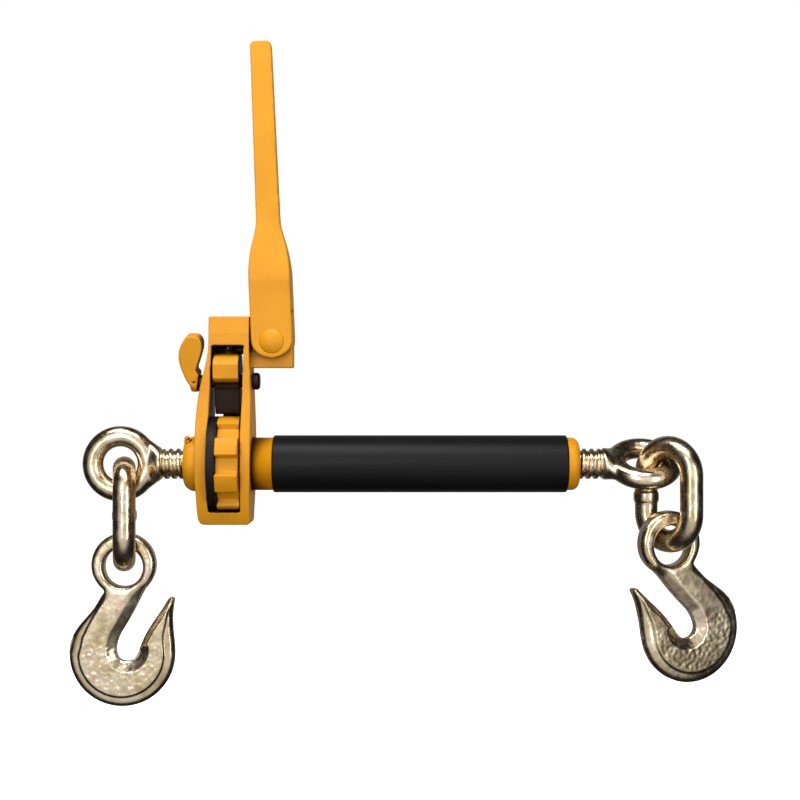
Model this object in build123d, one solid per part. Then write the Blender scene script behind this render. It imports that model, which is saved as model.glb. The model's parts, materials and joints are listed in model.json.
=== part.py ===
from build123d import *

import os
from math import cos, radians, sin, sqrt, tan

# A ratchet load binder, in millimetres. The barrel axis is X, +Z is up, and the viewer's side is -Y.
# The origin is on the barrel axis, half way along the grip sleeve.

# ---- fits ----------------------------------------------------------------------------------------
RUNNING = 0.05          # radial clearance of a shaft or pin in its hole
REST_GAP = 0.3          # clearance left where one loose forging rests on another

# ---- barrel and screws ---------------------------------------------------------------------------
BARREL_R = 21.0
BARREL_LEFT, BARREL_RIGHT = -187.5, 126.5
BARREL_END_ROUND = 6.0
SLEEVE_R, SLEEVE_HALF = 22.8, 117.0
SLEEVE_ROUND = 1.6
SCREW_CREST_R, SCREW_ROOT_R, SCREW_PITCH = 12.2, 10.4, 6.0
SCREW_LENGTH = 136.0
LEFT_SHOWING, RIGHT_SHOWING = 19.0, 20.0   # thread outside the barrel at rest
BORE_R = 12.6           # threaded bores, drawn clear of the screw crests
RELIEF_R = 15.0         # wider bore between the two threaded lengths
THREADED_DEPTH = 62.0

# ---- ratchet wheel -------------------------------------------------------------------------------
WHEEL_LEFT, WHEEL_RIGHT = -160.0, -142.2
WHEEL_TIP_R, WHEEL_ROOT_R = 39.0, 33.6
WHEEL_TEETH = 8
TOOTH_SHARE = 0.60      # share of the pitch taken by the tooth at its root
TOOTH_LEAN = 4.0        # degrees by which each flank leans in from root to tip
WHEEL_PHASE = 23.5      # degrees from straight down the -Y axis up to a tooth's middle
SEAT_R, SEAT_LEFT = 19.0, -166.7
JOURNAL_R = 16.0
KEY_SIDE, KEY_LENGTH = 5.0, 16.0
THRUST_WASHER_R, THRUST_WASHER_LEFT = 38.0, -166.6

# ---- housing -------------------------------------------------------------------------------------
HOUSING_TOP, HOUSING_BOTTOM = 117.0, -47.6
HEAD_LEFT, HEAD_RIGHT = -167.0, -135.0
HEAD_HALF_DEPTH, HEAD_CREASE = 17.5, 103.8
CHEEK_LEFT, CHEEK_RIGHT = -176.7, -133.4
CHEEK_HALF_DEPTH = 27.0
FOOT_HALF_DEPTH = 15.5
WINDOW_TOP, WINDOW_BOTTOM = 94.3, -37.4
WINDOW_TOP_LEFT, WINDOW_TOP_RIGHT = -164.6, -139.2
WINDOW_LEFT, WINDOW_RIGHT = -167.2, -141.6
WHEEL_WELL_R = 40.2
HUB_R, HUB_LEFT, HUB_ROUND = 22.0, -188.5, 9.0
NIPPLE_X, NIPPLE_RADIUS, NIPPLE_SLANT, NIPPLE_ROLL = -183.6, 19.4, -108.0, 26.0
NIPPLE_STEM_R = 2.2
WEB_LEFT = -160.0       # two webs join the cheeks at the back, over the pawl and over the wheel
HEAD_WEB_Y, HEAD_WEB_BOTTOM = (14.0, 17.4), 88.0
WHEEL_WEB_Y, WHEEL_WEB_Z = (19.2, 22.0), (37.4, 46.0)

# ---- handle and its lug --------------------------------------------------------------------------
PIVOT_X, PIVOT_Z = -117.2, 97.5
HANDLE_LEAN = 2.4       # degrees to the left of upright, against the housing head
HANDLE_REACH = 240.0    # pivot to tip
BAR_HALF_WIDTH, TIP_HALF_WIDTH = 9.4, 8.4
BAR_HALF_DEPTH = 6.5
NECK_TOP, NECK_BOTTOM = 98.0, 56.0
FORK_HALF_WIDTH, FORK_HALF_DEPTH, FORK_DROP = 16.4, 16.6, 13.6
LUG_HALF_DEPTH = 8.0
FORK_SLOT_HALF, FORK_SLOT_TOP = 8.4, 25.0
LUG_RIGHT, LUG_BOTTOM, LUG_ROUND = -101.0, 76.6, 9.0
HANDLE_PIN_R, HANDLE_PIN_HEAD_R, HANDLE_PIN_HEAD = 6.0, 9.8, 3.0
WASHER_R, WASHER_T = 10.5, 2.0
RIVET_R, RIVET_T = 8.0, 3.0

# ---- pawl, its shaft and lever -------------------------------------------------------------------
PAWL_Z = 66.0
PAWL_LEFT, PAWL_RIGHT = -163.4, -143.4
PAWL_TOP_R, PAWL_LEG_R = 24.0, 26.3
PAWL_HUB_R, PAWL_LEG_HALF = 10.5, 8.0
PAWL_CREST_ANGLE = 44.7
PAWL_WING_Y, PAWL_WING_Z = 17.9, 5.7
PAWL_TILT = 12.0        # rest position, leg over to the far side
SHAFT_R, SHAFT_HEAD_R, SHAFT_HEAD_RIGHT = 5.0, 6.8, -128.0
LEVER_HALF_DEPTH, LEVER_HUB_R = 9.0, 8.5
LEVER_HUB_LEFT, LEVER_HUB_RIGHT = -183.0, -176.2
LEVER_PIN_X = -179.6
ROLL_PIN_R, ROLL_PIN_BORE = 2.0, 1.1
PLUNGER_R, PLUNGER_COLLAR_R = 3.0, 4.2
PLUNGER_TIP_Z = PAWL_Z + PAWL_TOP_R + REST_GAP
PLUNGER_COLLAR_Z = WINDOW_TOP + 2.4
PLUNGER_COLLAR_T = 2.6
POCKET_R, POCKET_TOP = 4.6, 112.5
SPRING_R, SPRING_WIRE_R, SPRING_TURNS = 3.4, 0.6, 4.5

# ---- eye bolts, links and hooks ------------------------------------------------------------------
RING_R, RING_TUBE_R = 22.0, 8.2
RING_TO_THREAD = 32.0
NECK_R = 13.6
RIGHT_RING_TILT = 32.0  # the right ring lies nearly flat, its near side low
LINK_WIRE_R, LINK_LENGTH, LINK_INNER_WIDTH = 9.0, 92.0, 26.0
LEFT_LINK_TURN = 11.0
RIGHT_LINK_TURN = 48.0
WELD_R, WELD_HALF = 10.1, 4.0
EYE_R, EYE_HOLE_R, EYE_HOLE_DROP = 25.7, 15.6, 1.5
EYE_OUTER_ROUND, EYE_INNER_ROUND, EYE_INSET = 4.6, 3.4, 0.3
HOOK_HALF_DEPTH = 7.5
HOOK_BOWL_X, HOOK_BOWL_Z, HOOK_BOWL_R = -1.3, -70.7, 42.2
SLOT_X, SLOT_Z, SLOT_R = 3.6, -67.3, 9.5
HOOK_RIM_BEVEL = 2.2
RIM_INSIDE, RIM_OUTSIDE = 35.0, 50.0    # how far the middles of the bevelled edges lie from the slot's end
RIGHT_HOOK_SWING = 14.0 # degrees, bowl towards +X
RIGHT_HOOK_TURN = 18.0  # degrees about the vertical

LEFT_THREAD_END = HUB_LEFT - LEFT_SHOWING
RIGHT_THREAD_END = BARREL_RIGHT + RIGHT_SHOWING
LEFT_RING_X = LEFT_THREAD_END - RING_TO_THREAD
RIGHT_RING_X = RIGHT_THREAD_END + RING_TO_THREAD


# ---- small helpers -------------------------------------------------------------------------------
def along_x(x0, x1, radius):
    """A cylinder on the X axis from x0 to x1."""
    return Pos((x0 + x1) / 2, 0, 0) * Rot(0, 90, 0) * Cylinder(radius, x1 - x0)


def along_y(y0, y1, radius):
    """A cylinder on the Y axis from y0 to y1."""
    return Pos(0, (y0 + y1) / 2, 0) * Rot(90, 0, 0) * Cylinder(radius, y1 - y0)


def block(x0, x1, y0, y1, z0, z1):
    """A box between two corners."""
    size = Box(x1 - x0, y1 - y0, z1 - z0)
    return Pos((x0 + x1) / 2, (y0 + y1) / 2, (z0 + z1) / 2) * size


def plate_xz(outline, half_depth):
    """A closed outline drawn in X and Z, made solid from -half_depth to half_depth along Y."""
    return extrude(make_face(Plane.XZ * outline), half_depth, both=True)


def plate_yz(outline, x0, x1):
    """A closed outline drawn in Y and Z, made solid from x0 to x1."""
    solid = extrude(make_face(Plane.YZ * outline), (x1 - x0) / 2, both=True)
    return Pos((x0 + x1) / 2, 0, 0) * solid


def turned(points):
    """A solid of revolution about X from (x, radius) points; the profile closes on the axis side."""
    profile = Polyline(*points, close=True)
    return revolve(make_face(profile), Axis.X, 360)


# ---- housing group -------------------------------------------------------------------------------
def housing_front():
    """Front outline of the casting: a tall loop, wider round the barrel than at its head."""
    left = Spline(
        (HEAD_LEFT, WINDOW_TOP), (-173.8, 60.0), (-176.0, 43.0), (CHEEK_LEFT, 8.0), (-175.6, -38.0),
        tangents=[(-0.08, -1), (0.05, -1)],
    )
    right = Spline(
        (HEAD_RIGHT, WINDOW_TOP), (-133.8, 60.0), (CHEEK_RIGHT, 8.0), (-134.4, -38.0),
        tangents=[(0.02, -1), (-0.05, -1)],
    )
    corner_left, corner_right = (-170.0, HOUSING_BOTTOM), (-137.0, HOUSING_BOTTOM)
    return Wire([
        left,
        Spline(left @ 1, corner_left, tangents=[(0.05, -1), (1, 0)]),
        Line(corner_left, corner_right),
        Spline(corner_right, right @ 1, tangents=[(1, 0), (0.05, 1)]),
        right,
        Line((HEAD_RIGHT, WINDOW_TOP), (HEAD_RIGHT, HOUSING_TOP)),
        Line((HEAD_RIGHT, HOUSING_TOP), (HEAD_LEFT, HOUSING_TOP)),
        Line((HEAD_LEFT, HOUSING_TOP), (HEAD_LEFT, WINDOW_TOP)),
    ])


def housing_side():
    """Side outline: a strap that swells into a round boss at the barrel; the head's faces lean back."""
    half = [
        (HEAD_HALF_DEPTH - 2.0, HOUSING_TOP), (HEAD_HALF_DEPTH, HEAD_CREASE),
        (HEAD_HALF_DEPTH, 62.0),
    ]
    swell = Spline(
        half[-1], (22.5, 32.0), (CHEEK_HALF_DEPTH, 2.0), (22.0, -30.0), (FOOT_HALF_DEPTH, HOUSING_BOTTOM),
        tangents=[(0, -1), (-0.6, -1)],
    )
    side = [Polyline(*half), swell]
    other = [edge.mirror(Plane.YZ) for edge in side]
    top = Line(half[0], (-half[0][0], HOUSING_TOP))
    foot = Line((FOOT_HALF_DEPTH, HOUSING_BOTTOM), (-FOOT_HALF_DEPTH, HOUSING_BOTTOM))
    return Wire([e for part in (*side, *other, top, foot) for e in part.edges()])


def housing_window():
    """The opening that runs right through from front to back."""
    return Polyline(
        (WINDOW_TOP_LEFT, WINDOW_TOP), (WINDOW_TOP_RIGHT, WINDOW_TOP), (WINDOW_RIGHT, 20.0),
        (WINDOW_RIGHT, WINDOW_BOTTOM), (WINDOW_LEFT + 0.4, WINDOW_BOTTOM), (WINDOW_LEFT, 20.0), close=True,
    )


def lug():
    """The eye that the handle folds on, standing out over the barrel."""
    solid = block(HEAD_RIGHT - 4, LUG_RIGHT, -LUG_HALF_DEPTH, LUG_HALF_DEPTH, LUG_BOTTOM, HOUSING_TOP)
    corner = solid.edges().filter_by(Axis.Y).group_by(Axis.X)[-1].sort_by(Axis.Z)[-1]
    return fillet(corner, LUG_ROUND)


def ratchet_housing():
    depth = CHEEK_HALF_DEPTH + 5
    body = plate_xz(housing_front(), depth) & plate_yz(housing_side(), CHEEK_LEFT - 5, CHEEK_RIGHT + 5)
    body = body - plate_xz(housing_window(), depth)
    hub = along_x(HUB_LEFT, WINDOW_LEFT - 1, HUB_R)
    hub = fillet(hub.edges().filter_by(GeomType.CIRCLE).sort_by(Axis.X)[0], HUB_ROUND)
    body = body + hub + lug()
    body = body - along_x(WINDOW_LEFT, WINDOW_RIGHT, WHEEL_WELL_R)
    body = body + block(WINDOW_LEFT + 1, WINDOW_RIGHT + 1, *HEAD_WEB_Y, HEAD_WEB_BOTTOM, WINDOW_TOP + 1)
    body = body + block(WEB_LEFT, WINDOW_RIGHT + 1, *WHEEL_WEB_Y, *WHEEL_WEB_Z)
    body = body - along_x(HUB_LEFT - 1, WINDOW_LEFT + 1, JOURNAL_R + RUNNING)
    body = body - along_x(WINDOW_RIGHT - 1, CHEEK_RIGHT + 5, BARREL_R + RUNNING)
    body = body - Pos(0, 0, PAWL_Z) * along_x(CHEEK_LEFT - 5, CHEEK_RIGHT + 5, SHAFT_R + RUNNING)
    pin_hole = along_y(-LUG_HALF_DEPTH - 1, LUG_HALF_DEPTH + 1, HANDLE_PIN_R + RUNNING)
    body = body - Pos(PIVOT_X, 0, PIVOT_Z) * pin_hole
    pocket_x = (PAWL_LEFT + PAWL_RIGHT) / 2
    pocket = Cylinder(POCKET_R, POCKET_TOP - WINDOW_TOP + 1, align=(Align.CENTER, Align.CENTER, Align.MAX))
    return body - Pos(pocket_x, 0, POCKET_TOP) * pocket - grease_nipple()


def at_nipple(shape):
    return Rot(NIPPLE_ROLL, 0, 0) * Pos(NIPPLE_X, 0, NIPPLE_RADIUS) * Rot(0, NIPPLE_SLANT, 0) * shape


def grease_nipple():
    """A nipple screwed into the hub at a slant, with its ball end and hexagon."""
    stem = turned([(-1.2, 0), (-1.2, NIPPLE_STEM_R), (0, NIPPLE_STEM_R), (0, 0)])
    hexagon = Rot(0, 90, 0) * extrude(RegularPolygon(3.4, 6), 2.4)
    end = turned([(2.4, 0), (2.4, 2.0), (3.2, 1.5), (3.9, 2.1), (4.7, 2.1), (5.3, 1.3), (5.3, 0)])
    return at_nipple(stem + hexagon + end)


# ---- handle group (built upright about its pivot, then leant) ------------------------------------
def at_pivot(shape):
    return Pos(PIVOT_X, 0, PIVOT_Z) * Rot(0, -HANDLE_LEAN, 0) * shape


def handle_front():
    """Front outline: a flat bar that flares into a wide, round-bottomed fork."""
    edge = Spline(
        (BAR_HALF_WIDTH, NECK_TOP), (12.8, 80.0), (FORK_HALF_WIDTH, NECK_BOTTOM),
        tangents=[(0.02, -1), (0.05, -1)],
    )
    bar = Line((TIP_HALF_WIDTH, HANDLE_REACH), (BAR_HALF_WIDTH, NECK_TOP))
    cheek = Line((FORK_HALF_WIDTH, NECK_BOTTOM), (FORK_HALF_WIDTH, 2.0))
    chin = Spline((FORK_HALF_WIDTH, 2.0), (11.2, -9.4), (0, -FORK_DROP), tangents=[(0, -1), (-1, -0.15)])
    side = [bar, edge, cheek, chin]
    other = [part.mirror(Plane.YZ) for part in side]
    tip = Line((TIP_HALF_WIDTH, HANDLE_REACH), (-TIP_HALF_WIDTH, HANDLE_REACH))
    return Wire([e for part in (*side, *other, tip) for e in part.edges()])


def handle_side():
    """Side outline: the bar thickens into the fork."""
    flare = Spline(
        (BAR_HALF_DEPTH, NECK_TOP), (11.0, 74.0), (FORK_HALF_DEPTH, 48.0), tangents=[(0.05, -1), (0.1, -1)]
    )
    side = [
        Line((BAR_HALF_DEPTH - 0.8, HANDLE_REACH), (BAR_HALF_DEPTH, NECK_TOP)), flare,
        Line((FORK_HALF_DEPTH, 48.0), (FORK_HALF_DEPTH, -FORK_DROP - 2)),
    ]
    other = [part.mirror(Plane.YZ) for part in side]
    tip = Line((BAR_HALF_DEPTH - 0.8, HANDLE_REACH), (0.8 - BAR_HALF_DEPTH, HANDLE_REACH))
    foot = Line((FORK_HALF_DEPTH, -FORK_DROP - 2), (-FORK_HALF_DEPTH, -FORK_DROP - 2))
    return Wire([e for part in (*side, *other, tip, foot) for e in part.edges()])


def handle():
    body = plate_xz(handle_front(), FORK_HALF_DEPTH + 2)
    body = body & plate_yz(handle_side(), -FORK_HALF_WIDTH - 4, FORK_HALF_WIDTH + 4)
    tip = body.edges().filter_by(Axis.Y).group_by(Axis.Z)[-1]
    body = fillet(tip, 4.0)
    slot_half = FORK_HALF_WIDTH + 4
    slot = block(-slot_half, slot_half, -FORK_SLOT_HALF, FORK_SLOT_HALF, -FORK_DROP - 4, FORK_SLOT_TOP)
    hole = along_y(-FORK_HALF_DEPTH - 1, FORK_HALF_DEPTH + 1, HANDLE_PIN_R + RUNNING)
    return at_pivot(body - slot - hole)


def handle_pin():
    """The domed pin, riveted over at the back."""
    front, back = -FORK_HALF_DEPTH, FORK_HALF_DEPTH + WASHER_T
    shank = along_y(front, back, HANDLE_PIN_R)
    dome_r = (HANDLE_PIN_HEAD_R**2 + HANDLE_PIN_HEAD**2) / (2 * HANDLE_PIN_HEAD)
    dome = Pos(0, front + dome_r - HANDLE_PIN_HEAD, 0) * Sphere(dome_r)
    dome = dome & along_y(front - HANDLE_PIN_HEAD - 1, front, HANDLE_PIN_HEAD_R + 1)
    rivet = along_y(back, back + RIVET_T, RIVET_R)
    rivet = chamfer(rivet.edges().filter_by(GeomType.CIRCLE).sort_by(Axis.Y)[-1], 1.8)
    return at_pivot(shank + dome + rivet)


def handle_pin_washer():
    ring = along_y(FORK_HALF_DEPTH, FORK_HALF_DEPTH + WASHER_T, WASHER_R)
    return at_pivot(ring - along_y(0, FORK_HALF_DEPTH + WASHER_T + 1, HANDLE_PIN_R))


# ---- pawl group (built upright about its shaft, then tilted) -------------------------------------
def at_shaft(shape):
    return Pos(0, 0, PAWL_Z) * Rot(PAWL_TILT, 0, 0) * shape


def pawl():
    """A wide-headed pawl: the round top rides under the plunger, the leg stands over the wheel."""
    crest = (PAWL_TOP_R * sin(radians(PAWL_CREST_ANGLE)), PAWL_TOP_R * cos(radians(PAWL_CREST_ANGLE)))
    leg_z = -sqrt(PAWL_LEG_R**2 - PAWL_LEG_HALF**2)
    side = [
        Line(crest, (PAWL_WING_Y, PAWL_WING_Z)),
        Line((PAWL_WING_Y, PAWL_WING_Z), (PAWL_LEG_HALF + 1.5, -1.0)),
        Line((PAWL_LEG_HALF + 1.5, -1.0), (PAWL_LEG_HALF, leg_z)),
    ]
    other = [part.mirror(Plane.YZ) for part in side]
    top = ThreePointArc(crest, (0, PAWL_TOP_R), (-crest[0], crest[1]))
    sole = ThreePointArc((PAWL_LEG_HALF, leg_z), (0, -PAWL_LEG_R), (-PAWL_LEG_HALF, leg_z))
    outline = Wire([e for part in (*side, *other, top, sole) for e in part.edges()])
    body = plate_yz(outline, PAWL_LEFT, PAWL_RIGHT) + along_x(PAWL_LEFT, PAWL_RIGHT, PAWL_HUB_R)
    body = body - along_x(PAWL_LEFT - 1, PAWL_RIGHT + 1, SHAFT_R)
    return at_shaft(body - pawl_roll_pin())


def pawl_roll_pin():
    length = 2 * PAWL_HUB_R + 3
    return Pos((PAWL_LEFT + PAWL_RIGHT) / 2, 0, 0) * along_y(-length / 2, length / 2, ROLL_PIN_R)


def lever_roll_pin():
    length = 2 * LEVER_HUB_R
    return Pos(LEVER_PIN_X, 0, 0) * along_y(-length / 2, length / 2, ROLL_PIN_R)


def pawl_roll_pins():
    """Two rolled spring pins, open along one side."""
    pins = []
    for pin, x in ((pawl_roll_pin(), (PAWL_LEFT + PAWL_RIGHT) / 2), (lever_roll_pin(), LEVER_PIN_X)):
        hollow = pin - Pos(x, 0, 0) * along_y(-20, 20, ROLL_PIN_BORE)
        pins.append(hollow - block(x - 0.35, x + 0.35, -20, 20, 0, ROLL_PIN_R + 1))
    return at_shaft(Compound(children=pins))


def pawl_shaft():
    """The headed shaft through both cheeks, cross-drilled for its two pins."""
    shaft = along_x(LEVER_HUB_LEFT - 0.5, CHEEK_RIGHT + 0.3, SHAFT_R)
    head = along_x(CHEEK_RIGHT + 0.3, SHAFT_HEAD_RIGHT, SHAFT_HEAD_R)
    head = chamfer(head.edges().filter_by(GeomType.CIRCLE).sort_by(Axis.X)[-1], 1.4)
    return at_shaft(shaft + head - pawl_roll_pin() - lever_roll_pin())


def pawl_lever():
    """A curved thumb lever that stands up beside the left cheek."""
    z = PAWL_Z
    outer = Spline(
        (-177.4, 60.4 - z), (-188.0, 73.5 - z), (-191.2, 86.0 - z), (-189.2, 96.4 - z), (-184.4, 103.8 - z),
        tangents=[(-1, 0.35), (0.7, 1)],
    )
    inner = Spline(
        (-176.8, 103.6 - z), (-172.6, 97.0 - z), (-174.0, 88.0 - z), (-177.4, 78.0 - z), (-175.4, 73.0 - z),
        tangents=[(1, -0.6), (1, -1)],
    )
    outline = Wire([outer, Line(outer @ 1, inner @ 0), inner, Line(inner @ 1, outer @ 0)])
    blade = plate_xz(outline, LEVER_HALF_DEPTH)
    hub = along_x(LEVER_HUB_LEFT, LEVER_HUB_RIGHT, LEVER_HUB_R)
    body = blade + fillet(hub.edges().filter_by(GeomType.CIRCLE), 1.5)
    return at_shaft(body - along_x(LEVER_HUB_LEFT - 12, LEVER_HUB_RIGHT + 1, SHAFT_R) - lever_roll_pin())


def detent_plunger():
    """A round-nosed plunger with a collar that its spring pushes on."""
    nose = PLUNGER_TIP_Z
    collar_top = PLUNGER_COLLAR_Z + PLUNGER_COLLAR_T
    profile = [
        (nose, 0), (nose, PLUNGER_R - 1.2), (nose + 1.2, PLUNGER_R), (PLUNGER_COLLAR_Z, PLUNGER_R),
        (PLUNGER_COLLAR_Z, PLUNGER_COLLAR_R), (collar_top, PLUNGER_COLLAR_R), (collar_top, 2.2),
        (collar_top + 4.0, 2.2), (collar_top + 4.0, 0),
    ]
    stem = Pos((PAWL_LEFT + PAWL_RIGHT) / 2, 0, 0) * Rot(0, -90, 0) * turned(profile)
    return stem


def detent_spring():
    """A compression spring between the collar and the top of its pocket."""
    low = PLUNGER_COLLAR_Z + PLUNGER_COLLAR_T + SPRING_WIRE_R + 0.1
    height = POCKET_TOP - SPRING_WIRE_R - 0.1 - low
    path = Helix(height / SPRING_TURNS, height, SPRING_R)
    start = Plane(path @ 0, z_dir=path % 0)
    wire = sweep(start * Circle(SPRING_WIRE_R), path)
    return Pos((PAWL_LEFT + PAWL_RIGHT) / 2, 0, low) * wire


# ---- barrel group --------------------------------------------------------------------------------
def barrel_tube():
    """The barrel, stepped down for the wheel and for its journal in the hub, threaded at both ends."""
    body = along_x(BARREL_LEFT, SEAT_LEFT, JOURNAL_R) + along_x(SEAT_LEFT, WHEEL_RIGHT, SEAT_R)
    body = body + along_x(WHEEL_RIGHT, BARREL_RIGHT, BARREL_R)
    body = fillet(body.edges().filter_by(GeomType.CIRCLE).sort_by(Axis.X)[-1], BARREL_END_ROUND)
    body = body - along_x(BARREL_LEFT - 1, BARREL_RIGHT + 1, BORE_R)
    body = body - along_x(BARREL_LEFT + THREADED_DEPTH, BARREL_RIGHT - THREADED_DEPTH, RELIEF_R)
    return body - wheel_key()


def wheel_key():
    middle = (WHEEL_LEFT + WHEEL_RIGHT) / 2
    half = KEY_SIDE / 2
    return block(middle - KEY_LENGTH / 2, middle + KEY_LENGTH / 2, -half, half, SEAT_R - half, SEAT_R + half)


def ratchet_wheel():
    """Square-shouldered teeth on a plain bore."""
    body = along_x(WHEEL_LEFT, WHEEL_RIGHT, WHEEL_TIP_R)
    pitch = 360 / WHEEL_TEETH
    root_half = pitch * (1 - TOOTH_SHARE) / 2
    tip_half = root_half + TOOTH_LEAN
    reach = WHEEL_TIP_R + 2
    gap = Polyline(
        (WHEEL_ROOT_R * cos(radians(root_half)), -WHEEL_ROOT_R * sin(radians(root_half))),
        (WHEEL_ROOT_R * cos(radians(root_half)), WHEEL_ROOT_R * sin(radians(root_half))),
        (reach, reach * tan(radians(tip_half))), (reach, -reach * tan(radians(tip_half))), close=True,
    )
    slot = plate_yz(gap, WHEEL_LEFT - 1, WHEEL_RIGHT + 1)
    for tooth in range(WHEEL_TEETH):
        body = body - Rot(180 - WHEEL_PHASE - pitch * (tooth + 0.5), 0, 0) * slot
    return body - along_x(WHEEL_LEFT - 1, WHEEL_RIGHT + 1, SEAT_R) - wheel_key()


def thrust_washer():
    """The washer between the wheel and the left cheek."""
    body = along_x(THRUST_WASHER_LEFT, WHEEL_LEFT, THRUST_WASHER_R)
    return body - along_x(THRUST_WASHER_LEFT - 1, WHEEL_LEFT + 1, SEAT_R)


def grip_sleeve():
    body = along_x(-SLEEVE_HALF, SLEEVE_HALF, SLEEVE_R)
    body = fillet(body.edges().filter_by(GeomType.CIRCLE), SLEEVE_ROUND)
    return body - along_x(-SLEEVE_HALF - 1, SLEEVE_HALF + 1, BARREL_R)


# ---- eye bolts, links and hooks ------------------------------------------------------------------
def eye_bolt():
    """Ring centre at the origin with its hole along Y; the screw runs along +X."""
    ring = Rot(90, 0, 0) * Torus(RING_R, RING_TUBE_R)
    neck = turned([
        (RING_R - 4, 0), (RING_R - 4, NECK_R - 5.5), (RING_R + 4, NECK_R - 0.8), (RING_R + 6, NECK_R),
        (RING_TO_THREAD - 1.6, NECK_R), (RING_TO_THREAD, SCREW_ROOT_R), (RING_TO_THREAD, 0),
    ])
    profile = [(RING_TO_THREAD, 0), (RING_TO_THREAD, SCREW_ROOT_R)]
    turns = int(SCREW_LENGTH / SCREW_PITCH)
    for turn in range(turns):
        x = RING_TO_THREAD + turn * SCREW_PITCH
        profile += [
            (x + 0.22 * SCREW_PITCH, SCREW_ROOT_R), (x + 0.42 * SCREW_PITCH, SCREW_CREST_R),
            (x + 0.72 * SCREW_PITCH, SCREW_CREST_R), (x + 0.92 * SCREW_PITCH, SCREW_ROOT_R),
        ]
    end = RING_TO_THREAD + SCREW_LENGTH
    profile += [(end - 1.5, SCREW_ROOT_R), (end, SCREW_ROOT_R - 1.5), (end, 0)]
    return ring + neck + turned(profile)


def left_eye_bolt():
    return Pos(LEFT_RING_X, 0, 0) * eye_bolt()


def right_eye_bolt():
    return Pos(RIGHT_RING_X, 0, 0) * Rot(RIGHT_RING_TILT - 90, 0, 0) * Rot(0, 180, 0) * eye_bolt()


def link():
    """An oval link in the XZ plane, centred on the origin, with a weld swelling on its left leg."""
    leg = (LINK_INNER_WIDTH + 2 * LINK_WIRE_R) / 2
    straight = LINK_LENGTH / 2 - leg - LINK_WIRE_R
    centre_line = Wire([
        Line((-leg, -straight), (-leg, straight)),
        ThreePointArc((-leg, straight), (0, straight + leg), (leg, straight)),
        Line((leg, straight), (leg, -straight)),
        ThreePointArc((leg, -straight), (0, -straight - leg), (-leg, -straight)),
    ])
    path = Plane.XZ * centre_line
    start = Plane(origin=(-leg, 0, -straight), z_dir=(0, 0, 1))
    body = sweep(start * Circle(LINK_WIRE_R), path)
    swelling = Cylinder(WELD_R, 2 * WELD_HALF)
    swelling = fillet(swelling.edges().filter_by(GeomType.CIRCLE), 1.0)
    return body + Pos(-leg, 0, -3.0) * swelling


def hook_outline():
    """Outline of the grab hook about its eye, opening to +X: straight slot, round bowl, pointed tip."""
    waist = (-18.0, -24.4)
    back = Spline((HOOK_BOWL_X - HOOK_BOWL_R, HOOK_BOWL_Z), (-37.9, -51.6), (-24.3, -35.1), waist,
                  tangents=[(0, 1), (0.5, 1)])
    bowl = ThreePointArc(
        (HOOK_BOWL_X + HOOK_BOWL_R, HOOK_BOWL_Z), (HOOK_BOWL_X, HOOK_BOWL_Z - HOOK_BOWL_R),
        (HOOK_BOWL_X - HOOK_BOWL_R, HOOK_BOWL_Z),
    )
    tip = (37.8, -28.2)
    nose = Spline(bowl @ 0, (39.6, -53.5), (39.2, -38.0), (40.4, -29.2), tangents=[(0, 1), (0.2, 1)])
    point = ThreePointArc(nose @ 1, (tip[0] + 0.4, tip[1] + 2.8), (tip[0] - 2.4, tip[1] + 1.2))
    far_wall = Spline(point @ 1, (25.2, -42.9), (SLOT_X + SLOT_R, SLOT_Z + 2.0),
                      tangents=[(-0.5, -1), (-0.35, -1)])
    root = Spline(far_wall @ 1, (SLOT_X, SLOT_Z - SLOT_R), (SLOT_X - SLOT_R, SLOT_Z + 1.5),
                  tangents=[(-0.35, -1), (0.1, 1)])
    near_wall = Spline(root @ 1, (1.9, -47.7), (15.5, -22.5), (20.5, -12.0), tangents=[(0.1, 1), (0.4, 1)])
    across = Polyline(near_wall @ 1, (0, -6.0), waist)
    sides = (bowl, back, nose, point, far_wall, root, near_wall, across)
    return Wire([e for part in sides for e in part.edges()])


def hook_eye():
    """The ring of the eye, oval in section so that a link can roll in it."""
    half_depth = HOOK_HALF_DEPTH - EYE_INSET
    ring = along_y(-half_depth, half_depth, EYE_R)
    ring = fillet(ring.edges().filter_by(GeomType.CIRCLE), EYE_OUTER_ROUND)
    ring = ring - Pos(0, 0, -EYE_HOLE_DROP) * along_y(-2 * half_depth, 2 * half_depth, EYE_HOLE_R)
    rims = [edge for edge in ring.edges().filter_by(GeomType.CIRCLE) if abs(edge.radius - EYE_HOLE_R) < 0.1]
    return fillet(rims, EYE_INNER_ROUND)


def grab_hook():
    """Eye centre at the origin, opening to +X, flat faces square to Y."""
    shank = plate_xz(hook_outline(), HOOK_HALF_DEPTH)
    slot_end = Vector(SLOT_X, 0, SLOT_Z)
    rim = [
        edge for edge in shank.edges()
        if abs(abs(edge.center().Y) - HOOK_HALF_DEPTH) < 0.01
        and RIM_INSIDE < (edge.center() - slot_end).length < RIM_OUTSIDE
    ]
    shank = chamfer(rim, HOOK_RIM_BEVEL)
    clear = along_y(-2 * HOOK_HALF_DEPTH, 2 * HOOK_HALF_DEPTH, EYE_HOLE_R + EYE_INNER_ROUND)
    shank = shank - Pos(0, 0, -EYE_HOLE_DROP) * clear
    return shank + hook_eye()


def hang(shape, top, turn):
    """Puts a link with its top wire's middle at top, turned about the vertical."""
    drop = LINK_LENGTH / 2 - LINK_WIRE_R
    return Pos(*top) * Pos(0, 0, -drop) * Rot(0, 0, turn) * shape


LEFT_LINK_TOP = (LEFT_RING_X + 3.0, 0, -3.0)
RIGHT_LINK_TOP = (RIGHT_RING_X + 17.0, -16.6, 13.8)
LEFT_HOOK_DROP, RIGHT_HOOK_DROP = 77.65, 75.5   # from the middle of a link's top wire to the hook's eye


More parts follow.
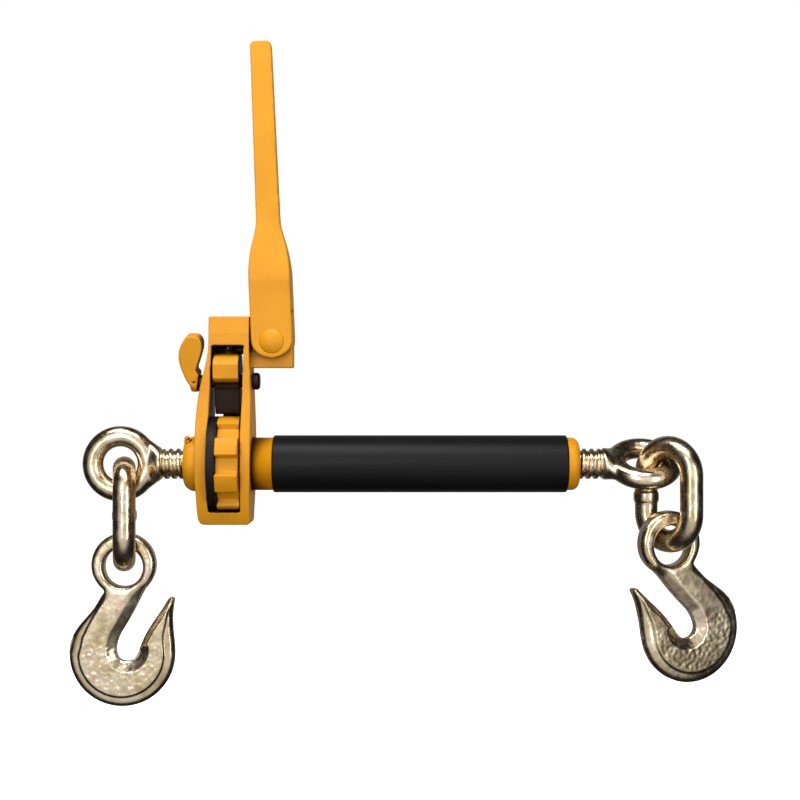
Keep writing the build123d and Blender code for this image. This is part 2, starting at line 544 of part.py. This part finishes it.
def left_link():
    return hang(link(), LEFT_LINK_TOP, -90 + LEFT_LINK_TURN)


def right_link():
    return hang(link(), RIGHT_LINK_TOP, -RIGHT_LINK_TURN)


def left_grab_hook():
    return Pos(*LEFT_LINK_TOP) * Pos(0, 0, -LEFT_HOOK_DROP) * grab_hook()


def right_grab_hook():
    swung = Rot(0, -RIGHT_HOOK_SWING, 0) * grab_hook().mirror(Plane.YZ)
    return Pos(*RIGHT_LINK_TOP) * Pos(0, 0, -RIGHT_HOOK_DROP) * Rot(0, 0, RIGHT_HOOK_TURN) * swung


# ---- write one STEP for each piece ---------------------------------------------------------------
NODES = (
    ratchet_housing, grease_nipple, handle, handle_pin, handle_pin_washer, pawl, pawl_shaft, pawl_lever,
    pawl_roll_pins, detent_plunger, detent_spring, ratchet_wheel, thrust_washer, wheel_key, barrel_tube,
    grip_sleeve, left_eye_bolt, right_eye_bolt, left_link, right_link, left_grab_hook, right_grab_hook,
)

os.makedirs("parts", exist_ok=True)
for node in NODES:
    export_step(node(), f"parts/{node.__name__}.step")
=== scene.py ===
import json
from math import cos, hypot, pi, radians, sin

import bmesh
import bpy
from mathutils import Euler, Matrix, Vector, noise


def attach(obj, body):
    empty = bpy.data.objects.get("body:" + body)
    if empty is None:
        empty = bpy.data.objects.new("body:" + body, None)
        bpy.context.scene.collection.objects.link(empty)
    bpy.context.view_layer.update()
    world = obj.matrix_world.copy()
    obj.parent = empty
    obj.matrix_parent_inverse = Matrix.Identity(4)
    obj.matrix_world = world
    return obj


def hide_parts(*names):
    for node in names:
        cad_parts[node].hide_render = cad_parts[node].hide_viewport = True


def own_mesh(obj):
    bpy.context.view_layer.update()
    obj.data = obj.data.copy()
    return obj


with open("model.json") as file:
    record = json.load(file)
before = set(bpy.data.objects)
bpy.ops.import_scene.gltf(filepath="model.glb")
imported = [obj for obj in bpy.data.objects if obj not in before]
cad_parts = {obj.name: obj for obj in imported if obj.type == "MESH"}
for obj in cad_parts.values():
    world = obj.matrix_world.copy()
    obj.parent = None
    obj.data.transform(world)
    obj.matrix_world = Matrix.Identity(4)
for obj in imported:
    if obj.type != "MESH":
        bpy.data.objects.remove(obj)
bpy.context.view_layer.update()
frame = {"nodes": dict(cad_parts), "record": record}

# The visual model of a ratchet load binder, in metres, in the CAD model's frame.
BODY_OF = {node: body for body, nodes in frame["record"]["behaviour"]["bodies"].items() for node in nodes}
SLOT_OF = {row["node"]: row["material_slot"] for row in frame["record"]["subparts"]}
MM = 0.001


# ---- materials -----------------------------------------------------------------------------------
# Colours are linear; noise scales are per metre and bump distances are in metres.
ENAMEL_TONES = (0.80, 0.335, 0.004), (0.73, 0.290, 0.003)
# Dark brown for painted shade in recesses and on the pawl's leg, and for grease on the shaft and roll pins.
GREASE_AND_SHADE = (0.020, 0.007, 0.002)
SHADE_REACH = 0.03   # how far the surroundings are searched for a recess, where shade is painted into the enamel
# The pawl's leg below its wing is painted dark brown, as shade.
PAWL_PAINTED_SHADE = ("Z", 0.0665, 0.0645)
SHAFT_GREASE = ("X", -0.170, -0.168)


class Nodes:
    """A material's node tree, with short calls for the nodes used here."""

    def __init__(self, name):
        self.material = bpy.data.materials.new(name)
        self.material.use_nodes = True
        self.tree = self.material.node_tree
        self.shader = self.tree.nodes["Principled BSDF"]
        self.place = self.add("ShaderNodeTexCoord").outputs["Object"]

    def add(self, kind, **settings):
        node = self.tree.nodes.new(kind)
        for key, value in settings.items():
            setattr(node, key, value)
        return node

    def link(self, output, target):
        self.tree.links.new(output, target)

    def noise(self, scale, detail=3.0, roughness=0.55, stretch=None):
        node = self.add("ShaderNodeTexNoise")
        node.inputs["Scale"].default_value = scale
        node.inputs["Detail"].default_value = detail
        node.inputs["Roughness"].default_value = roughness
        self.link(self.stretched(stretch) if stretch else self.place, node.inputs["Vector"])
        return node.outputs["Fac"]

    def stretched(self, stretch):
        mapping = self.add("ShaderNodeMapping")
        mapping.inputs["Scale"].default_value = stretch
        self.link(self.place, mapping.inputs["Vector"])
        return mapping.outputs["Vector"]

    def ramp(self, factor, *stops):
        node = self.add("ShaderNodeValToRGB")
        elements = node.color_ramp.elements
        while len(elements) < len(stops):
            elements.new(0.5)
        for element, (position, colour) in zip(elements, stops):
            element.position = position
            element.color = (*colour, 1.0) if len(colour) == 3 else colour
        self.link(factor, node.inputs["Fac"])
        return node.outputs["Color"]

    def spread(self, factor, low, high, start=0.3, end=0.7):
        node = self.add("ShaderNodeMapRange")
        for key, value in (("From Min", start), ("From Max", end), ("To Min", low), ("To Max", high)):
            node.inputs[key].default_value = value
        self.link(factor, node.inputs["Value"])
        return node.outputs["Result"]

    def mix(self, factor, first, second, blend="MIX"):
        node = self.add("ShaderNodeMix", data_type="RGBA", blend_type=blend)
        for key, value in ((0, factor), (6, first), (7, second)):
            if hasattr(value, "is_linked"):
                self.link(value, node.inputs[key])
            else:
                node.inputs[key].default_value = value if key == 0 else (*value, 1.0)
        return node.outputs[2]

    def along(self, axis):
        """A spot's place along one axis of the frame."""
        split = self.add("ShaderNodeSeparateXYZ")
        self.link(self.place, split.inputs["Vector"])
        return split.outputs[axis]

    def openness(self, distance, low, high):
        """0 deep in a recess, 1 in the open."""
        node = self.add("ShaderNodeAmbientOcclusion", samples=8)
        node.inputs["Distance"].default_value = distance
        return self.spread(node.outputs["AO"], 0.0, 1.0, low, high)

    def relief(self, *layers, edge=0.0):
        """Stacks bumps, each a (height, distance, strength), over softened edges."""
        normal = None
        if edge:
            soft = self.add("ShaderNodeBevel", samples=6)
            soft.inputs["Radius"].default_value = edge
            normal = soft.outputs["Normal"]
        for height, distance, strength in layers:
            bump = self.add("ShaderNodeBump")
            bump.inputs["Distance"].default_value = distance
            bump.inputs["Strength"].default_value = strength
            self.link(height, bump.inputs["Height"])
            if normal:
                self.link(normal, bump.inputs["Normal"])
            normal = bump.outputs["Normal"]
        self.link(normal, self.shader.inputs["Normal"])

    def set(self, **values):
        for key, value in values.items():
            self.shader.inputs[key.replace("_", " ")].default_value = value


def enamel(name, grease_and_shade_band=None):
    """Sprayed enamel over a forging: slight orange peel, and dark brown painted shade in the recesses.

    The last argument gives an axis, the place where the paint is still bare and the place where it turns
    dark: painted shade on the pawl's leg, grease on the shaft and roll pins.
    """
    tone, shade = ENAMEL_TONES
    m = Nodes(name)
    cloud = m.noise(38.0, 4.0)
    fine = m.noise(420.0, 3.0)
    paint = m.ramp(cloud, (0.32, shade), (0.62, tone))
    # Painted shade: ambient occlusion turns the enamel dark brown in recesses.
    paint = m.mix(m.openness(SHADE_REACH, 0.30, 0.62), GREASE_AND_SHADE, paint)
    # A band along one axis: painted shade on the pawl's leg, grease on the shaft and roll pins.
    if grease_and_shade_band:
        axis, bare, darkened = grease_and_shade_band
        paint = m.mix(m.spread(m.along(axis), 1.0, 0.0, bare, darkened), GREASE_AND_SHADE, paint)
    m.link(paint, m.shader.inputs["Base Color"])
    m.link(m.spread(fine, 0.38, 0.50), m.shader.inputs["Roughness"])
    m.set(Coat_Weight=0.06, Coat_Roughness=0.25, IOR=1.33)
    m.relief((m.noise(95.0, 2.0), 0.0006, 0.35), (m.noise(900.0, 2.0), 0.00012, 0.30), edge=0.0006)
    return m.material


def chromate(name):
    """Zinc plate under a yellow chromate film, whose tint drifts from straw to olive and pink."""
    m = Nodes(name)
    drift = m.noise(48.0, 3.0, 0.6)
    patch = m.noise(130.0, 4.0, 0.6)
    film = m.ramp(
        drift, (0.30, (0.52, 0.43, 0.26)), (0.46, (0.76, 0.63, 0.42)), (0.58, (0.84, 0.73, 0.55)),
        (0.72, (0.74, 0.56, 0.43)),
    )
    stain = m.ramp(patch, (0.36, (0.72, 0.64, 0.55)), (0.60, (1.0, 1.0, 1.0)))
    m.link(m.mix(0.75, film, stain, "MULTIPLY"), m.shader.inputs["Base Color"])
    m.link(m.spread(patch, 0.16, 0.34), m.shader.inputs["Roughness"])
    m.set(Metallic=1.0)
    m.relief((m.noise(70.0, 2.0), 0.0009, 0.5), (m.noise(500.0, 2.0), 0.00006, 0.40), edge=0.0005)
    return m.material


def plated(name):
    """Plain zinc-plated steel for the small hardware."""
    m = Nodes(name)
    grain = m.noise(700.0, 3.0)
    metal = m.ramp(grain, (0.3, (0.50, 0.49, 0.46)), (0.7, (0.68, 0.67, 0.64)))
    m.link(metal, m.shader.inputs["Base Color"])
    m.link(m.spread(grain, 0.24, 0.40), m.shader.inputs["Roughness"])
    m.set(Metallic=1.0)
    m.relief((m.noise(500.0), 0.0001, 0.3), edge=0.0003)
    return m.material


def oiled(name):
    """Blackened steel with a film of oil."""
    m = Nodes(name)
    grain = m.noise(260.0, 3.0)
    film = m.ramp(grain, (0.3, (0.004, 0.003, 0.002)), (0.7, (0.014, 0.010, 0.008)))
    m.link(film, m.shader.inputs["Base Color"])
    m.link(m.spread(grain, 0.45, 0.60), m.shader.inputs["Roughness"])
    m.set(IOR=1.3)
    m.relief((m.noise(400.0), 0.0001, 0.3), edge=0.0003)
    return m.material


def sleeve_plastic(name):
    """Satin black plastic with faint lengthwise drawing marks."""
    m = Nodes(name)
    drawn = m.noise(60.0, 4.0, 0.6, stretch=(0.06, 1.0, 1.0))
    fine = m.noise(800.0, 2.0)
    black = m.ramp(drawn, (0.3, (0.006, 0.006, 0.006)), (0.7, (0.010, 0.010, 0.010)))
    m.link(black, m.shader.inputs["Base Color"])
    m.link(m.spread(drawn, 0.40, 0.50), m.shader.inputs["Roughness"])
    m.set(IOR=1.26)
    m.relief((drawn, 0.0003, 0.35), (fine, 0.00008, 0.35), edge=0.0006)
    return m.material


# A finish for each material slot, and for the nodes darkened in part: the pawl by painted shade, the shaft
# and roll pins by grease.
FINISHES = {
    "orange_paint": enamel("orange_paint"),
    "pawl": enamel("pawl_paint", PAWL_PAINTED_SHADE),
    "pawl_roll_pins": enamel("roll_pin_paint", SHAFT_GREASE),
    "pawl_shaft": enamel("shaft_paint", SHAFT_GREASE),
    "yellow_zinc": chromate("yellow_zinc"),
    "bright_steel": plated("bright_steel"),
    "dark_steel": oiled("dark_steel"),
    "black_sleeve": sleeve_plastic("black_sleeve"),
}


# ---- shared building -----------------------------------------------------------------------------
SHARP_ANGLE, BEVELLED_ANGLE = 38.0, 40.0   # degrees
WELD = 0.00001


def new_object(name, mesh):
    piece = bpy.data.objects.new(name, mesh)
    bpy.context.collection.objects.link(piece)
    return piece


def settle(piece, node, sharp=SHARP_ANGLE):
    """Gives a piece its finish, its shading and its place on a body, in the stead of a CAD node."""
    mesh = piece.data
    mesh.polygons.foreach_set("use_smooth", [True] * len(mesh.polygons))
    if sharp:
        mesh.set_sharp_from_angle(angle=radians(sharp))
    mesh.materials.clear()
    mesh.materials.append(FINISHES.get(node) or FINISHES[SLOT_OF[node]])
    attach(piece, BODY_OF[node])
    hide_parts(node)


def applied(piece):
    """Replaces a piece's mesh by its modified one."""
    graph = bpy.context.evaluated_depsgraph_get()
    mesh = bpy.data.meshes.new_from_object(piece.evaluated_get(graph))
    piece.modifiers.clear()
    piece.data = mesh


def copy_of(node, name):
    """A welded copy of a CAD node's mesh."""
    source = frame["nodes"][node].data
    form = bmesh.new()
    form.from_mesh(source)
    bmesh.ops.remove_doubles(form, verts=form.verts, dist=WELD)
    mesh = bpy.data.meshes.new(name)
    form.to_mesh(mesh)
    form.free()
    return new_object(name, mesh)


def smooth_over(piece, passes, group=""):
    smooth = piece.modifiers.new("smooth", "SMOOTH")
    smooth.factor = 0.5
    smooth.iterations = passes
    smooth.vertex_group = group


def soften(piece, voxel, passes):
    """Rounds a form over as forging or casting leaves it."""
    remesh = piece.modifiers.new("remesh", "REMESH")
    remesh.mode = "VOXEL"
    remesh.voxel_size = voxel
    remesh.adaptivity = 0.0
    smooth_over(piece, passes)
    applied(piece)


def forged(node, voxel, passes):
    """A softened copy."""
    piece = copy_of(node, node + "_forged")
    soften(piece, voxel, passes)
    settle(piece, node, sharp=0)


def machined(node, bevel):
    """A copy with narrow bevels on its sharp edges."""
    piece = copy_of(node, node + "_turned")
    if bevel:
        edge = piece.modifiers.new("bevel", "BEVEL")
        edge.width = bevel
        edge.segments = 2
        edge.limit_method = "ANGLE"
        edge.angle_limit = radians(BEVELLED_ANGLE)
        edge.use_clamp_overlap = True
        applied(piece)
    settle(piece, node)
    return piece


def tube_mesh(name, rows, joined=False):
    """A tube from rings of points, with capped ends, or with its ends joined."""
    form = bmesh.new()
    rings = [[form.verts.new(point) for point in row] for row in rows]
    count = len(rings[0])
    pairs = list(zip(rings, rings[1:]))
    if joined:
        pairs.append((rings[-1], rings[0]))
    for first, second in pairs:
        for i in range(count):
            j = (i + 1) % count
            form.faces.new((first[i], first[j], second[j], second[i]))
    if not joined:
        form.faces.new(rings[0])
        form.faces.new(rings[-1])
    bmesh.ops.recalc_face_normals(form, faces=form.faces)
    mesh = bpy.data.meshes.new(name)
    form.to_mesh(mesh)
    form.free()
    return mesh


# ---- grab hooks ----------------------------------------------------------------------------------
# Lines on the hook about its eye's centre, in millimetres: the two walls of the slot and the outer edge.
NEAR_WALL = ((20.5, -12.0), (15.5, -22.5), (7.5, -38.0), (1.9, -47.7), (-3.9, -58.0), (-5.9, -66.0))
FAR_WALL = ((35.4, -27.0), (28.6, -38.0), (20.5, -50.0), (16.1, -58.0), (13.0, -66.0))
SLOT_END, SLOT_END_R = (3.6, -67.3), 9.5
BACK_EDGE = ((-18.0, -24.4), (-24.3, -35.1), (-33.6, -46.0), (-39.4, -54.0), (-43.5, -70.7))
NOSE_EDGE = ((40.9, -70.7), (39.6, -53.5), (39.2, -38.0), (40.4, -29.2))
BOWL, BOWL_R = (-1.3, -70.7), 42.2
HALF_DEPTH = 7.5
SLOT_EDGE_DEPTH, NEAR_BEVEL, FAR_BEVEL = 2.6, 8.0, 4.6   # half depth at the slot, and the bevels' widths
RIM_EDGE_DEPTH, RIM_CROWN = 2.2, 3.6
GRAIN_DEPTH, GRAIN_SCALE = 0.24, 0.34
HOOK_VOXEL, BLEND_PASSES = 0.00065, 60
LEFT_HOOK_EYE = (-236.5, 0.0, -80.65)
RIGHT_HOOK_EYE, RIGHT_HOOK_TURN, RIGHT_HOOK_SWING = (195.5, -16.6, -61.7), 18.0, 14.0


def line_distance(x, z, line):
    nearest = 1000.0
    for (x0, z0), (x1, z1) in zip(line, line[1:]):
        along = ((x - x0) * (x1 - x0) + (z - z0) * (z1 - z0)) / ((x1 - x0) ** 2 + (z1 - z0) ** 2)
        along = min(1.0, max(0.0, along))
        nearest = min(nearest, hypot(x - x0 - along * (x1 - x0), z - z0 - along * (z1 - z0)))
    return nearest


def ease(value, start, end):
    value = min(1.0, max(0.0, (value - start) / (end - start)))
    return value * value * (3 - 2 * value)


def slot_draft(x, z):
    """The forging thins towards the slot, by a wide flat bevel on either wall."""
    round_end = abs(hypot(x - SLOT_END[0], z - SLOT_END[1]) - SLOT_END_R) if z < -64.0 else 1000.0
    near = min(line_distance(x, z, NEAR_WALL), round_end)
    far = line_distance(x, z, FAR_WALL)
    share = min(1.0, near / NEAR_BEVEL, far / FAR_BEVEL)
    return SLOT_EDGE_DEPTH + (HALF_DEPTH - SLOT_EDGE_DEPTH) * share


def rim_draft(x, z):
    """Round the bowl the rim stands lower than the pad and is rounded over."""
    if z < BOWL[1]:
        outer = BOWL_R - hypot(x - BOWL[0], z - BOWL[1])
    else:
        outer = min(line_distance(x, z, BACK_EDGE), line_distance(x, z, NOSE_EDGE))
    outer = max(0.0, outer)
    width = 3.4 + 4.6 * ease(-z, 34.0, 62.0)
    crown = RIM_EDGE_DEPTH + RIM_CROWN * (1 - (1 - min(1.0, outer / width)) ** 2) ** 0.5
    step_up = HALF_DEPTH - RIM_EDGE_DEPTH - RIM_CROWN
    return crown + step_up * ease(outer, width - 0.4, width + 1.0)


def pad_grain(x, z, side):
    """The coarse, hammered look of the lower bowl."""
    inside = ease(-z, 58.0, 66.0) * ease(BOWL_R - hypot(x - BOWL[0], z - BOWL[1]), 9.5, 11.5)
    return inside * GRAIN_DEPTH * noise.noise(Vector((x * GRAIN_SCALE, z * GRAIN_SCALE, side * 7.0)))


def blend_shank(piece):
    """Runs the round eye smoothly into the flat body."""
    blend = piece.vertex_groups.new(name="blend")
    for vertex in piece.data.vertices:
        depth = -vertex.co.z / MM
        blend.add([vertex.index], ease(depth, 6.0, 14.0) * ease(34.0 - depth, 0.0, 10.0), "REPLACE")
    smooth_over(piece, BLEND_PASSES, blend.name)


def hook_mesh():
    """The left hook about its own eye, with its drafts, from the CAD solid."""
    piece = copy_of("left_grab_hook", "hook_blank")
    home = Vector(LEFT_HOOK_EYE) * MM
    for vertex in piece.data.vertices:
        vertex.co -= home
    soften(piece, HOOK_VOXEL, 3)
    for vertex in piece.data.vertices:
        x, y, z = vertex.co / MM
        if z > -8.0:
            continue
        shape = ease(-z, 12.0, 24.0)
        depth = min(slot_draft(x, z), rim_draft(x, z))
        depth = HALF_DEPTH + (depth - HALF_DEPTH) * shape
        grain = pad_grain(x, z, 1.0 if y > 0 else -1.0) if abs(y) > 6.0 else 0.0
        vertex.co.y = (y * depth / HALF_DEPTH + (grain if y > 0 else -grain)) * MM
    blend_shank(piece)
    smooth_over(piece, 3)
    applied(piece)
    mesh = piece.data
    bpy.data.objects.remove(piece)
    return mesh


def grab_hooks():
    """Both hooks from one mesh; the right one is mirrored, swung and turned."""
    mesh = hook_mesh()
    right = mesh.copy()
    mesh.transform(Matrix.Translation(Vector(LEFT_HOOK_EYE) * MM))
    swing = Euler((0, radians(-RIGHT_HOOK_SWING), 0)).to_matrix().to_4x4()
    turn = Euler((0, 0, radians(RIGHT_HOOK_TURN))).to_matrix().to_4x4()
    right.transform(Matrix.Scale(-1, 4, (1, 0, 0)))
    right.flip_normals()
    right.transform(Matrix.Translation(Vector(RIGHT_HOOK_EYE) * MM) @ turn @ swing)
    settle(new_object("left_hook_forging", mesh), "left_grab_hook", sharp=0)
    settle(new_object("right_hook_forging", right), "right_grab_hook", sharp=0)


# ---- eye bolts -----------------------------------------------------------------------------------
RING_R, TUBE_R, TO_THREAD = 22.0, 8.2, 32.0
CREST_R, ROOT_R, PITCH, THREAD_LENGTH = 12.2, 10.4, 6.0, 136.0
LEFT_RING_X, RIGHT_RING_X, RIGHT_RING_TILT = -239.5, 178.5, 32.0
THREAD_STEPS, THREAD_STRIDE, LEAD_IN = 56, 0.5, 3.0
RING_STEPS, TUBE_STEPS, NECK_STEPS = 96, 40, 48


def round_turn(steps):
    return [2 * pi * i / steps for i in range(steps)]


def thread_radius(phase):
    """A rounded trapezoid, one period long."""
    phase = phase % 1.0
    rise, fall = ease(phase, 0.10, 0.36), ease(phase, 0.64, 0.90)
    return ROOT_R + (CREST_R - ROOT_R) * (rise - fall)


def screw_mesh(hand):
    """A helical thread that fades in at the neck and out at a chamfered end."""
    rows = []
    count = int(THREAD_LENGTH / THREAD_STRIDE)
    end = TO_THREAD + THREAD_LENGTH
    for step in range(count + 1):
        x = TO_THREAD - LEAD_IN + (THREAD_LENGTH + LEAD_IN) * step / count
        run_in = ease(x, TO_THREAD - 1.0, TO_THREAD + 4.0) * ease(end - x, 0.0, 3.0)
        core = ROOT_R - 1.0 * (1 - ease(end - x, 0.0, 1.5))
        row = []
        for angle in round_turn(THREAD_STEPS):
            ridge = thread_radius(x / PITCH + hand * angle / (2 * pi)) - ROOT_R
            radius = core + ridge * run_in
            row.append(Vector((x, radius * cos(angle), radius * sin(angle))) * MM)
        rows.append(row)
    return tube_mesh("screw", rows)


def ring_mesh():
    rows = []
    for turn in round_turn(RING_STEPS):
        out = Vector((cos(turn), 0, sin(turn)))
        rows.append([
            (out * (RING_R + TUBE_R * cos(roll)) + Vector((0, TUBE_R * sin(roll), 0))) * MM
            for roll in round_turn(TUBE_STEPS)
        ])
    return tube_mesh("ring", rows, joined=True)


def neck_mesh():
    """A flare from the ring to the collar: each section is its place, half depth and half height."""
    sections = (
        (16.0, 5.0, 12.0), (18.0, 6.5, 17.0), (21.0, 7.5, 20.0), (24.0, 8.5, 18.8), (27.0, 10.0, 16.6),
        (30.0, 11.8, 14.4), (32.0, 12.6, 13.2), (33.5, 11.5, 11.5), (34.5, 10.3, 10.3),
    )
    rows = [
        [Vector((x, deep * cos(turn), high * sin(turn))) * MM for turn in round_turn(NECK_STEPS)]
        for x, deep, high in sections
    ]
    return tube_mesh("neck", rows)


def eye_head(name):
    """Ring and neck run together into one forging."""
    form = bmesh.new()
    for mesh in (ring_mesh(), neck_mesh()):
        form.from_mesh(mesh)
    mesh = bpy.data.meshes.new(name)
    form.to_mesh(mesh)
    form.free()
    piece = new_object(name, mesh)
    soften(piece, 0.0006, 14)
    return piece


def eye_bolts():
    turned_round = Euler((0, pi, 0)).to_matrix().to_4x4()
    tilt = Euler((radians(RIGHT_RING_TILT - 90), 0, 0)).to_matrix().to_4x4()
    for node, hand, place in (
        ("left_eye_bolt", -1, Matrix.Translation((LEFT_RING_X * MM, 0, 0))),
        ("right_eye_bolt", 1, Matrix.Translation((RIGHT_RING_X * MM, 0, 0)) @ tilt @ turned_round),
    ):
        head = eye_head(node + "_head")
        screw = new_object(node + "_screw", screw_mesh(hand))
        for piece in (head, screw):
            piece.data.transform(place)
            settle(piece, node, sharp=0)


# ---- the pieces ----------------------------------------------------------------------------------
FORGED = (   # node, voxel size, smoothing passes
    ("ratchet_housing", 0.0007, 3), ("handle", 0.0008, 6), ("pawl", 0.0006, 3), ("pawl_lever", 0.0007, 8),
    ("ratchet_wheel", 0.0006, 4), ("left_link", 0.0006, 24), ("right_link", 0.0006, 24),
)
MACHINED = (   # node, bevel width
    ("grease_nipple", 0.0002), ("handle_pin", 0.0005), ("handle_pin_washer", 0.0003), ("pawl_shaft", 0.0004),
    ("pawl_roll_pins", 0.0), ("detent_plunger", 0.0), ("wheel_key", 0.0003),
    ("thrust_washer", 0.0003), ("barrel_tube", 0.0), ("grip_sleeve", 0.0),
)


def detent_spring():
    """A plain copy of the spring, given a mesh of its own."""
    spring = machined("detent_spring", 0.0)
    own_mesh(spring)


grab_hooks()
eye_bolts()
for node, voxel, passes in FORGED:
    forged(node, voxel, passes)
for node, bevel in MACHINED:
    machined(node, bevel)
detent_spring()


# ---- floor, light and camera ---------------------------------------------------------------------
FLOOR_REACH, FLOOR_LEVEL = 6.0, -0.36
# Brightness of the surroundings from front (0) to back (1): bright in front and behind, dark at the sides.
SKY = ((0.0, 0.78), (0.11, 0.68), (0.20, 0.10), (0.30, 0.02), (0.80, 0.02), (0.85, 0.22), (1.0, 0.30))
WHITE = (1.0, 1.0, 1.0, 1.0)
LAMPS = (   # name, place, size, power, whether it shows in reflections
    ("overhead", (-0.2, -0.55, 1.2), (1.3, 0.5), 16.0, True),
    ("front_left", (-0.55, -1.7, 0.45), (0.35, 1.2), 7.0, True),
    ("front_right", (0.9, -1.3, 0.1), (0.25, 1.0), 5.0, True),
    ("rear_left", (-0.9, 1.4, 0.8), (1.0, 1.0), 14.0, False),
    ("rear_right", (0.9, 1.4, 0.5), (0.8, 0.8), 8.0, False),
)
CAMERA_PLACE, CAMERA_LENS = (-0.016, -1.1, 0.051), 61.9


def floor():
    """A white floor that neither lights the object nor shows in its reflections."""
    sides = ((-1, -1), (1, -1), (1, 1), (-1, 1))
    corners = [(x * FLOOR_REACH, y * FLOOR_REACH, FLOOR_LEVEL) for x, y in sides]
    mesh = bpy.data.meshes.new("floor")
    mesh.from_pydata(corners, [], [(0, 1, 2, 3)])
    pale = Nodes("floor_white")
    tone = pale.ramp(pale.noise(3.0), (0.3, (0.90, 0.90, 0.90)), (0.7, (0.94, 0.94, 0.94)))
    pale.link(tone, pale.shader.inputs["Base Color"])
    pale.set(Roughness=0.9, Emission_Color=WHITE, Emission_Strength=1.0)
    mesh.materials.append(pale.material)
    ground = new_object("floor", mesh)
    ground.visible_glossy = False
    ground.visible_diffuse = False


def surroundings():
    """A graded studio for reflections and soft light, but plain white where the camera sees it."""
    world = bpy.data.worlds.new("studio")
    bpy.context.scene.world = world
    world.use_nodes = True
    nodes, links = world.node_tree.nodes, world.node_tree.links
    split = nodes.new("ShaderNodeSeparateXYZ")
    links.new(nodes.new("ShaderNodeTexCoord").outputs["Generated"], split.inputs["Vector"])
    depth = nodes.new("ShaderNodeMapRange")
    depth.inputs["From Min"].default_value = -1.0
    links.new(split.outputs["Y"], depth.inputs["Value"])
    sky = nodes.new("ShaderNodeValToRGB")
    while len(sky.color_ramp.elements) < len(SKY):
        sky.color_ramp.elements.new(0.5)
    for element, (position, level) in zip(sky.color_ramp.elements, SKY):
        element.position = position
        element.color = (level, level, level, 1.0)
    links.new(depth.outputs["Result"], sky.inputs["Fac"])
    mix = nodes.new("ShaderNodeMix")
    mix.data_type = "RGBA"
    links.new(nodes.new("ShaderNodeLightPath").outputs["Is Camera Ray"], mix.inputs[0])
    links.new(sky.outputs["Color"], mix.inputs[6])
    mix.inputs[7].default_value = WHITE
    links.new(mix.outputs[2], nodes["Background"].inputs["Color"])


def soft_light(name, place, size, power, reflected):
    lamp = bpy.data.lights.new(name, "AREA")
    lamp.shape = "RECTANGLE"
    lamp.size, lamp.size_y = size
    lamp.energy = power
    light = bpy.data.objects.new(name, lamp)
    light.visible_camera = False
    light.visible_glossy = reflected
    light.location = place
    light.rotation_euler = (-Vector(place)).to_track_quat("-Z", "Y").to_euler()
    bpy.context.collection.objects.link(light)


def camera():
    lens = bpy.data.cameras.new("camera")
    lens.lens = CAMERA_LENS
    eye = bpy.data.objects.new("camera", lens)
    eye.location = CAMERA_PLACE
    eye.rotation_euler = (radians(90), 0, 0)
    bpy.context.collection.objects.link(eye)
    bpy.context.scene.camera = eye


floor()
surroundings()
for lamp_row in LAMPS:
    soft_light(*lamp_row)
camera()
bpy.context.scene.view_settings.view_transform = "Standard"
